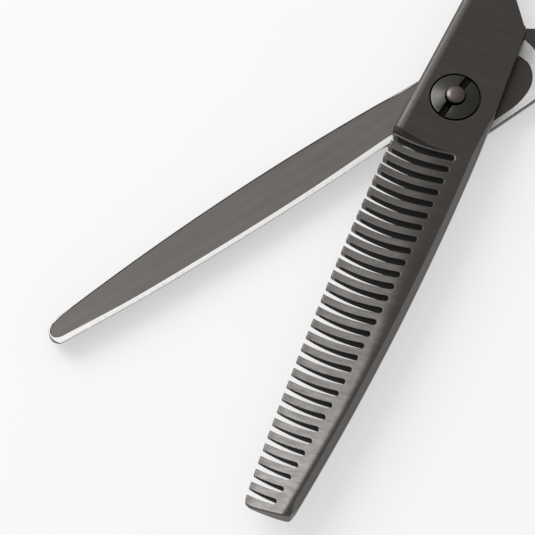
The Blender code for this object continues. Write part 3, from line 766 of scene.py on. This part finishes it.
def straightOuter(s, w):
    s, w = np.asarray(s, float), np.asarray(w, float)
    shape = straightShape
    ridge = layout["thick"] - shape["ridgeFall"] * np.maximum(s - 8, 0)
    ridgeW = straightSpine(s) - shape["ridgeIn"]
    edgeW = cuttingEdge(s)
    t = np.clip((ridgeW - w) / np.maximum(ridgeW - edgeW, 1), 0, 1)
    blade = shape["edgeThick"] + (ridge - shape["edgeThick"]) * (1 - t ** 1.7)
    grown = easeStep(10.0, 13.5, s)
    return np.where(s > 5, layout["thick"] * (1 - grown) + blade * grown, shankTop(s))


def handleLoop(shape, outerKnots):
    # from the tang's inner corner, round the ring and back up the outer edge to the tang
    ringS, ringR = shape["ringS"], shape["ringR"] + handle["ringWall"]
    ringW = shape["ringW"]
    inner = curveThrough([(-15.6, 5.85), (-19.3, 3.24), (-23.2, 0.45), (-27.0, -0.75), (-33.0, -1.0),
                          (ringS + 9.0, (handle["innerEdge"] + ringW + ringR) / 2)], 8)[:-1]
    fillet, line = handle["fillet"], handle["shankOuter"]
    centreW = line - fillet
    centreS = ringS + sqrt((ringR + fillet) ** 2 - (centreW - ringW) ** 2)
    touch = np.degrees(atan2(centreW - ringW, centreS - ringS))
    ring = arcPoints((ringS, ringW), ringR, 90 - 6, 360 + touch, 64)
    bend = arcPoints((centreS, centreW), fillet, 180 + touch, 90, 12)[1:]
    outer = curveThrough([bend[-1]] + outerKnots, 6)[1:]
    return inner + ring + bend + outer


def ringHole(shape):
    turns = arcPoints((shape["ringS"], shape["ringW"]), shape["ringR"], 360, 0, 72)[:-1]
    roll = handle["rollWidth"]
    edge = [(roll, roll, roll, roll, 0, 0.7, 0.8)] * len(turns)
    return turns, edge


def slotWalls(index):
    # the two walls and the round root of one slot, from its mouth and back to it
    shape = combShape
    rootS = shape["firstSlot"] + shape["pitch"] * index
    halfWidth = shape["slotWidth"] / 2
    root = np.array((rootS, combSpine(rootS) - shape["web"] - halfWidth))
    mouth = np.array((rootS - shape["slotLean"], toothLine(rootS)))
    chord = root - mouth
    length = np.linalg.norm(chord)
    back = np.array((-chord[1], chord[0])) / length
    centre = (root + mouth) / 2 + back * sqrt(shape["slotRadius"] ** 2 - length ** 2 / 4)
    start = atan2(*(mouth - centre)[::-1])
    end = atan2(*(root - centre)[::-1])
    walls = []
    for radius in (shape["slotRadius"] - halfWidth, shape["slotRadius"] + halfWidth):
        turns = np.linspace(start, end, 15)
        walls.append([tuple(centre + radius * np.array((cos(a), sin(a)))) for a in turns])
    tipOf = centre + shape["slotRadius"] * np.array((cos(end), sin(end)))
    cap = [tuple(tipOf + halfWidth * np.array((cos(a), sin(a))))
           for a in end + pi - pi * np.arange(1, 8) / 8]
    return walls[0], cap, walls[1][::-1]


edgeKinds = {
    # top round width, height, bottom round width, height, chamfer share, its width, its foot
    "tooth": (0.07, 0.07, 0.05, 0.05, 0, 0.7, 0.8),
    "toothTip": (0.3, 0.32, 0.06, 0.06, 0, 0.7, 0.8),
    "firstWall": (0.3, 0.22, 0.05, 0.05, 0, 0.7, 0.8),
    "tang": (1.4, 0.55, 0.12, 0.12, 0, 0.7, 0.8),
    "tangInner": (0.24, 0.26, 0.12, 0.12, 0, 0.7, 0.8),
    "tangUnder": (1.7, 2.3, 0.1, 0.1, 0, 0.7, 0.8),
    "spine": (0.6, 0.55, 0.12, 0.12, 1, 0.7, 0.8),
    "tip": (0.2, 0.3, 0.06, 0.06, 0, 0.7, 0.8),
    "roll": (1.9, 2.3, 1.9, 2.3, 0, 0.7, 0.8),
    "thinEdge": (0.05, 0.04, 0.02, 0.02, 0, 0.7, 0.8),
}


def mixEdge(one, two, share):
    a, b = np.array(edgeKinds[one]), np.array(edgeKinds[two])
    return tuple(a * (1 - share) + b * share)


def handleEdges(points, outerKind, innerKind, ringS):
    # each edge softens from the tang's form to the round of the handle
    edges = []
    for s, w in points:
        inner = w > -2.5 and s > ringS
        share = float(easeStep(-23.0, -31.0, s))
        edges.append(mixEdge(innerKind if inner else outerKind, "roll", share))
    return edges


def combLoop():
    loop, edge = [], []

    def add(points, kinds):
        loop.extend(points)
        edge.extend(kinds if isinstance(kinds, list) else [edgeKinds[kinds]] * len(points))

    tangLine = lambda s: -(combShape["tangOuter"] + combShape["tangTaper"] * s)
    tang = [(s, tangLine(s)) for s in np.linspace(-14.5, 7.7, 12)]
    add(tang, "tang")
    add([(s, tangLine(s)) for s in (7.95, 8.2, 8.45)],
        [mixEdge("tang", "tooth", t) for t in (0.25, 0.65, 0.9)])
    previous = None
    for index in range(combShape["teeth"]):
        up, cap, down = slotWalls(index)
        corner = (up[0][0], toothLine(up[0][0]))
        before = previous or (8.45, tangLine(8.45))
        reach = 0.13
        bend = bentCorner(before, corner, up[1], reach)
        if previous:
            add([tuple(np.array(before) + (np.array(corner) - before) * 0.5)], "toothTip")
        add(bend, [mixEdge("toothTip", "tooth", t) for t in (0.1, 0.3, 0.55, 0.8, 1)])
        add(up[1:] + cap, "firstWall" if index == 0 else "tooth")
        add(down[:-1], "tooth")
        out = (down[-1][0], toothLine(down[-1][0]))
        after = (out[0] + 1.0, toothLine(out[0] + 1.0))
        add(bentCorner(down[-2], out, after, reach),
            [mixEdge("tooth", "toothTip", t) for t in (0, 0.2, 0.45, 0.7, 0.9)])
        previous = out
    tip = layout["tipReach"]
    end = [(tip - 0.9, toothLine(tip) + 0.02), (tip - 0.4, toothLine(tip) + 0.3),
           (tip - 0.08, toothLine(tip) + 1.1), (tip, -3.9), (tip, -2.0),
           (tip - 0.08, -0.5), (tip - 0.3, combSpine(tip) - 0.3), (tip - 0.9, combSpine(tip) + 0.02)]
    add(curveThrough(end, 4), "tip")
    spine = np.linspace(tip - 1.5, 10.0, 54)
    add([(s, combSpine(s)) for s in spine],
        [mixEdge("tip", "spine", float(easeStep(tip - 1, tip - 2, s))) for s in spine])
    fade = np.linspace(9.2, -2.0, 14)
    add([(s, combSpine(s)) for s in fade],
        [mixEdge("tangInner", "spine", float(easeStep(0.0, 8.5, s))) for s in fade])
    toCorner = [(-6.0, 6.6), (-10.0, 6.55), (-13.2, 6.5)]
    add(toCorner, "tangInner")
    add(bentCorner((-13.2, 6.5), (-15.0, 6.46), (-19.3, 3.24), 0.8), "tangInner")
    knots = [(-29.0, -5.7), (-22.5, -4.92), (-16.2, -4.8)]
    behind = handleLoop(combShape, knots)
    add(behind, handleEdges(behind, "tang", "tangInner", combShape["ringS"]))
    return loop, edge


bladeGrid = [(12.0, 73.0, 0.5), (10.0, 12.0, 0.3), (6.8, 10.0, 0.15), (5.5, 6.8, 0.3),
             (-24.0, 5.5, 0.8), (-36.0, -24.0, 0.6),
             (-88.0, -36.0, 1.1)]


def makeCombHalf():
    solid = forgedSolid()
    loop, edge = combLoop()
    # the slot walls take the near-black material: painted shade inside the slots
    slotShadeKinds = [2 if s > 9 and w > toothLine(s) + 0.25 and w < combSpine(s) - 1.5 and s < 71.5 else 0
              for s, w in loop]
    solid.addWall(*edgeRings(loop, edge, combOuter, combRide), slotShadeKinds)
    solid.addWall(*edgeRings(*ringHole(combShape), combOuter, combRide))
    seat = {"boreR": 2.6, "seatR": 4.0, "floor": 1.5, "lip": 0.06}
    top = layout["thick"]
    solid.addWall(*boreRings([(seat["boreR"] + 0.1, 0), (seat["boreR"], 0.1), (seat["boreR"], seat["floor"]),
                              (seat["seatR"], seat["floor"]), (seat["seatR"], top - seat["lip"]),
                              (seat["seatR"] + 0.03, top - 0.03), (seat["seatR"] + seat["lip"], top),
                              (seat["seatR"] + 0.25, top)]))
    rampLines = [[(float(rampSpan(w)[side]), w) for w in np.linspace(-6.9, 2.4, 60)] for side in (0, 1)]

    crestLine = [(s, float(combCrest(s))) for s in np.linspace(10.0, 71.6, 150)]
    easedLine = [(s, float(combCrest(s) - combEase(s))) for s in np.linspace(10.0, 71.6, 150)]
    solid.addSkin(True, combOuter, flatKind, bladeGrid, rampLines + [crestLine, easedLine])
    solid.addSkin(False, combRide, lambda s, w: np.where(s < -15, 0, 1), bladeGrid)
    solid.polishAndSheen = combGrindAndPaintedSheen(*np.array(solid.verts).T)
    return solid.build("combHalf", [combCoat, hollowSteel, combSlotPaintedShade], combPlace)


def straightLoop():
    loop, edge = [], []

    def add(points, kinds):
        loop.extend(points)
        edge.extend(kinds if isinstance(kinds, list) else [edgeKinds[kinds]] * len(points))

    tangLine = lambda s: -(straightShape["tangOuter"] + straightShape["tangTaper"] * s)
    add([(s, tangLine(s)) for s in np.linspace(-14.5, 5.4, 12)], "tangUnder")
    heel = curveThrough([(6.2, tangLine(6.0) + 0.1), (7.3, -6.6), (8.1, -4.4), (8.8, -1.9),
                         (9.9, 0.05), (11.5, cuttingEdge(11.5))], 5)
    add(heel, [mixEdge("tangUnder", "thinEdge", float(easeStep(6.0, 10.0, s))) for s, w in heel])
    tip = layout["tipReach"]
    add([(s, cuttingEdge(s)) for s in np.linspace(12.6, tip - 4.0, 50)], "thinEdge")
    end = [(tip - 3.0, cuttingEdge(tip - 3.0)), (tip - 1.4, cuttingEdge(tip - 1.4)),
           (tip - 0.8, cuttingEdge(tip) + 0.02), (tip - 0.38, cuttingEdge(tip) + 0.42), (tip - 0.1, 1.8),
           (tip, 2.5), (tip - 0.12, 3.3), (tip - 0.75, 4.15), (tip - 2.6, straightSpine(tip - 2.6))]
    ends = curveThrough(end, 5)
    add(ends, [mixEdge("thinEdge", "tip", 0.6)] * len(ends))
    spine = np.linspace(tip - 4.0, 10.0, 50)
    add([(s, straightSpine(s)) for s in spine],
        [mixEdge("tip", "spine", float(easeStep(tip - 3, tip - 6, s))) for s in spine])
    fade = np.linspace(8.6, 0.0, 10)
    add([(s, straightSpine(s) * (s / 10) + 6.65 * (1 - s / 10)) for s in fade],
        [mixEdge("tangInner", "spine", float(easeStep(3.0, 10.0, s))) for s in fade])
    add([(-4.0, 6.62), (-8.0, 6.58), (-13.2, 6.5)], "tangInner")
    add(bentCorner((-13.2, 6.5), (-15.0, 6.46), (-19.3, 3.24), 0.8), "tangInner")
    knots = [(-40.0, -6.25), (-31.0, -6.1), (-23.5, -5.85), (-16.2, -6.1)]
    behind = handleLoop(straightShape, knots)
    add(behind, handleEdges(behind, "tangUnder", "tangInner", straightShape["ringS"]))
    return loop, edge


def hollowLoop(inset=0.0):
    # the ground hollow's outline in the sliding face
    tip = layout["tipReach"]
    land = straightShape["land"] + inset
    along = [(s, cuttingEdge(s) + land + 0.2 * easeStep(30, 12, s) + 0.15 * easeStep(60, 72, s))
             for s in np.linspace(11.6, tip - 1.6, 43)]
    end = curveThrough([(tip - 1.1, 1.72 + inset), (tip - 0.48 - inset, 2.05), (tip - 0.2 - inset, 2.6),
                        (tip - 0.36 - inset, 3.4), (tip - 1.2, 4.1 - inset)], 4)
    spine = [(s, straightSpine(s) - 0.12 - inset) for s in np.linspace(tip - 3.0, 9.0, 36)]
    tang = [(s, 6.45 - inset) for s in np.linspace(6.0, -6.0, 8)]
    rear = curveThrough([(-9.0, 5.2 - inset), (-12.6 + inset, 2.6), (-13.9 + inset, -0.6),
                         (-12.4 + inset, -3.6), (-8.6, -5.25 + inset), (-3.5, -5.6 + inset)], 7)
    front = curveThrough([(1.0, -5.6 + inset), (5.4, -5.2 + inset), (7.2 - inset, -3.0),
                          (8.6 - inset, 0.2), (10.2, 1.3 + inset)], 5)
    return along + end + spine + tang + rear + front


def straightRide(s, w):
    s, w = np.asarray(s, float), np.asarray(w, float)
    reach = np.hypot(s, w)
    relief = 0.16 * easeStep(straightShape["moonR"], straightShape["moonR"] + 0.15, reach) * (s < -5)
    return shankDrop(s) + relief


def makeStraightHalf():
    solid = forgedSolid()
    loop, edge = straightLoop()
    solid.addWall(*edgeRings(loop, edge, straightOuter, straightRide))
    solid.addWall(*edgeRings(*ringHole(straightShape), straightOuter, straightRide))
    seat = {"boreR": 2.2, "seatR": 4.9, "floor": 1.9}
    top = layout["thick"]
    solid.addWall(*boreRings([(seat["boreR"] + 0.1, 0), (seat["boreR"], 0.1), (seat["boreR"], seat["floor"]),
                              (seat["seatR"], seat["floor"]), (seat["seatR"], top - 0.1),
                              (seat["seatR"] + 0.1, top)]))
    outline = np.array(hollowLoop())
    moon = straightShape["moonR"]

    def rideKind(s, w):
        inHollow = insideLoops(np.c_[s, w], [outline])
        # inside the hollow behind the pivot the darker coat is painted shade beside the comb; past the
        # half-moon it is the real coat
        behind = (s < -5) & (np.hypot(s, w) > moon + 0.05) | inHollow & (s < 0)
        return np.where(behind, 0, np.where(inHollow, 1, 2))

    steps = [(0.0, 0.0), (0.06, 1.0)]
    rims = [hollowLoop(inset) for inset, share in steps]
    lines = [rim + rim[:1] for rim in rims]
    lines += [arcPoints((0, 0), moon + gap, 140, 215, 60) for gap in (0.0, 0.15)]
    walls = [np.array(rim) for rim in rims]

    def rideHeight(s, w):
        depth = np.zeros(len(s))
        for (inset, share), wall in zip(steps, walls):
            depth[insideLoops(np.c_[s, w], [wall])] = 1.0
            near = KDTree(len(wall))
            for i, p in enumerate(wall):
                near.insert((*p, 0), i)
            near.balance()
            onRim = [near.find((a, b, 0))[2] < 0.004 for a, b in zip(s, w)]
            depth[onRim] = share
        return straightRide(s, w) + depth * straightShape["hollowDepth"]

    solid.addSkin(True, straightOuter, flatKind, bladeGrid)
    solid.addSkin(False, rideHeight, rideKind, bladeGrid, lines)
    return solid.build("straightHalf", [straightCoat, hollowSteel, landSteel], straightPlace)


combHalf = makeCombHalf()
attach(combHalf, "comb_half")
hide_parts("comb_blade")
print("comb half made", len(combHalf.data.polygons))
straightHalf = makeStraightHalf()
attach(straightHalf, "straight_half")
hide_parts("straight_blade")
print("straight half made", len(straightHalf.data.polygons))


# the pivot
nut = {"radius": 3.8, "cone": 0.85, "rim": 0.0, "thick": 0.85, "slotWidth": 1.2, "slotDepth": 0.75,
       "slotTurnDeg": 3.0, "holeR": 1.6}
studShape = {"endR": 1.5, "shaftR": 1.9, "headR": 4.6, "headThick": 1.2, "domeRise": 0.55,
             "endProud": 0.5}
nutZ = combTop + nut["rim"]


def makeNut():
    inner = nut["cone"] * (1 - nut["holeR"] / nut["radius"])
    r = nut["radius"]
    profile = [(nut["holeR"], -nut["thick"] + 0.2), (nut["holeR"], inner - 0.05),
               (nut["holeR"] + 0.08, inner), (r - 0.3, 0.08), (r - 0.05, -0.02), (r, -0.16),
               (r, -nut["thick"]), (nut["holeR"] + 0.2, -nut["thick"])]
    place = Matrix.Translation((0, 0, nutZ * mm)) @ Matrix.Rotation(radians(nut["slotTurnDeg"]), 4, "Z")
    piece = turnedPiece("tensionNut", profile, place, nutSteel, 128)
    low = nut["cone"] * 0.4 - nut["slotDepth"]
    bpy.ops.mesh.primitive_cube_add(size=1)
    bar = bpy.context.object
    # the cut faces take the near-black material: painted shade in the slot
    bar.data.materials.append(nutSlotPaintedShade)
    bar.matrix_world = place @ Matrix.Translation((0, 0, (low + 2) * mm)) \
        @ Matrix.Diagonal((12 * mm, nut["slotWidth"] * mm, 4 * mm, 1))
    slotCut = piece.modifiers.new("Slot", "BOOLEAN")
    slotCut.object = bar
    slotCut.operation = "DIFFERENCE"
    slotCut.material_mode = "TRANSFER"
    piece.modifiers.move(1, 0)
    bpy.context.view_layer.update()
    cutMesh = bpy.data.meshes.new_from_object(piece.evaluated_get(bpy.context.evaluated_depsgraph_get()))
    piece.modifiers.clear()
    piece.data = cutMesh
    bpy.data.objects.remove(bar, do_unlink=True)
    soften = piece.modifiers.new("Soft edges", "BEVEL")
    soften.width = 0.04 * mm
    soften.segments = 2
    soften.limit_method = "ANGLE"
    soften.angle_limit = radians(50)
    even = piece.modifiers.new("Even shading", "WEIGHTED_NORMAL")
    even.keep_sharp = True
    return piece


def makeStud():
    shape = studShape
    top = nutZ + nut["cone"] * (1 - shape["endR"] / nut["radius"]) + shape["endProud"]
    dome = [(shape["endR"] * sin(a), top + shape["domeRise"] * cos(a)) for a in np.linspace(0, pi / 2, 14)]
    neck = nutZ - nut["thick"] - 0.9
    rest = [(shape["endR"], neck), (shape["shaftR"], neck - 0.3), (shape["shaftR"], shape["headThick"]),
            (shape["headR"], shape["headThick"]), (shape["headR"], 0), (0, 0)]
    return turnedPiece("pivotStud", softProfile(dome + rest, 0.25), Matrix.Identity(4), studSteel)


tensionNut = makeNut()
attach(tensionNut, "nut")
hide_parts("tension_nut")
pivotStud = makeStud()
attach(pivotStud, "straight_half")
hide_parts("pivot_stud")
for name, made in (("pivot_bushing", slickPlastic), ("ride_washer", slickPlastic),
                   ("spring_washer", springSteel)):
    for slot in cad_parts[name].material_slots:
        slot.material = made
print("pivot made")


# rings, finger rest and silencer
soft = {"gap": 0.3, "insertWall": 1.3, "insertHalf": 2.9, "insertRoll": 0.55,
        "closeLeftDeg": 0.66, "silencerR": 2.2, "silencerNeckR": 1.2, "silencerDeep": 2.4,
        "silencerClear": 0.5, "innerEdge": 0.6}
restShape = {"rodR": 1.9, "reach": 19.0, "neckR": 1.3, "neckDeep": 2.6, "polarDeg": 204.0, "bend": 1.15}


def makeInsert(name, shape, place):
    outer = shape["ringR"] - soft["gap"]
    inner = outer - soft["insertWall"]
    high = soft["insertHalf"]
    corners = [(inner, 0), (inner, high), (outer, high), (outer, -high), (inner, -high), (inner, 0)]
    profile = softProfile(corners, soft["insertRoll"], 5)[:-1]
    centre = place @ Matrix.Translation((shape["ringS"] * mm, shape["ringW"] * mm, 0))
    return turnedPiece(name, profile, centre, blackRubber, 96)


def makeRest():
    # a smooth curved rod on a plain round neck
    polar = radians(restShape["polarDeg"])
    out = Vector((cos(polar), sin(polar), 0))
    side = Vector((-out.y, out.x, 0))
    wall = straightShape["ringR"] + handle["ringWall"]
    foot = Vector((straightShape["ringS"], straightShape["ringW"], 0)) + out * wall
    bend, reach = restShape["bend"], restShape["reach"]
    rows = []
    for i in range(5):
        rows.append((foot + out * (-restShape["neckDeep"] + i * 0.7), out, restShape["neckR"]))
    for i in range(41):
        f = i / 40
        at = foot + out * (soft["gap"] + reach * sin(bend * f) / bend)
        at = at + side * (reach * (1 - cos(bend * f)) / bend)
        way = (out * cos(bend * f) + side * sin(bend * f)).normalized()
        swell = restShape["rodR"] * (1 + 0.12 * f) * (0.86 + 0.14 * min(1, f / 0.05))
        end = sqrt(max(0.0, 1 - max(0.0, (f - 0.88) / 0.12) ** 2))
        rows.append((at, way, max(swell * end, 0.02)))
    verts, faces, count = [], [], 32
    for at, way, radius in rows:
        across = Vector((-way.y, way.x, 0))
        for k in range(count):
            a = 2 * pi * k / count
            verts.append(tuple(at + across * (radius * cos(a)) + Vector((0, 0, radius * sin(a)))))
    for r in range(len(rows) - 1):
        for k in range(count):
            j = (k + 1) % count
            faces.append((r * count + k, r * count + j, (r + 1) * count + j, (r + 1) * count + k))
    faces.append(tuple(range(count))[::-1])
    faces.append(tuple(range((len(rows) - 1) * count, len(rows) * count)))
    piece = makePiece("fingerRest", verts, faces, [0] * len(faces), [straightCoat], straightPlace)
    outward(piece, 40)
    return piece


def makeSilencer():
    thumb = Vector((combShape["ringS"], combShape["ringW"], 0))
    finger = Matrix.Rotation(radians(-soft["closeLeftDeg"]), 3, "Z") \
        @ Vector((straightShape["ringS"], -straightShape["ringW"], 0))
    way = (finger - thumb).normalized()
    seat = combShape["ringR"] + handle["ringWall"]
    toEdge = (Matrix.Rotation(radians(soft["closeLeftDeg"]), 3, "Z") @ thumb,
              Matrix.Rotation(radians(soft["closeLeftDeg"]), 3, "Z") @ way)
    top = (soft["innerEdge"] - toEdge[0].y) / toEdge[1].y - soft["silencerClear"]
    dome = [(soft["silencerR"] * sin(a), top - 0.8 + 0.8 * cos(a)) for a in np.linspace(0, pi / 2, 10)]
    foot = seat + soft["gap"]
    rest = [(soft["silencerR"], foot), (soft["silencerNeckR"], foot),
            (soft["silencerNeckR"], seat - soft["silencerDeep"]), (0, seat - soft["silencerDeep"])]
    place = combPlace @ Matrix.Translation(thumb * mm) @ way.to_track_quat("Z", "Y").to_matrix().to_4x4()
    return turnedPiece("silencer", softProfile(dome + rest, 0.2), place, blackRubber, 48)


for piece, body, cadNode, slotName in (
        (makeInsert("fingerInsert", straightShape, straightPlace), "straight_half", "finger_insert",
         "rubber"),
        (makeInsert("thumbInsert", combShape, combPlace), "comb_half", "thumb_insert", "rubber"),
        (makeRest(), "straight_half", "finger_rest", "comb_steel"),
        (makeSilencer(), "comb_half", "silencer", "rubber")):
    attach(piece, body)
    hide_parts(cadNode)
print("rings, finger rest and silencer made")
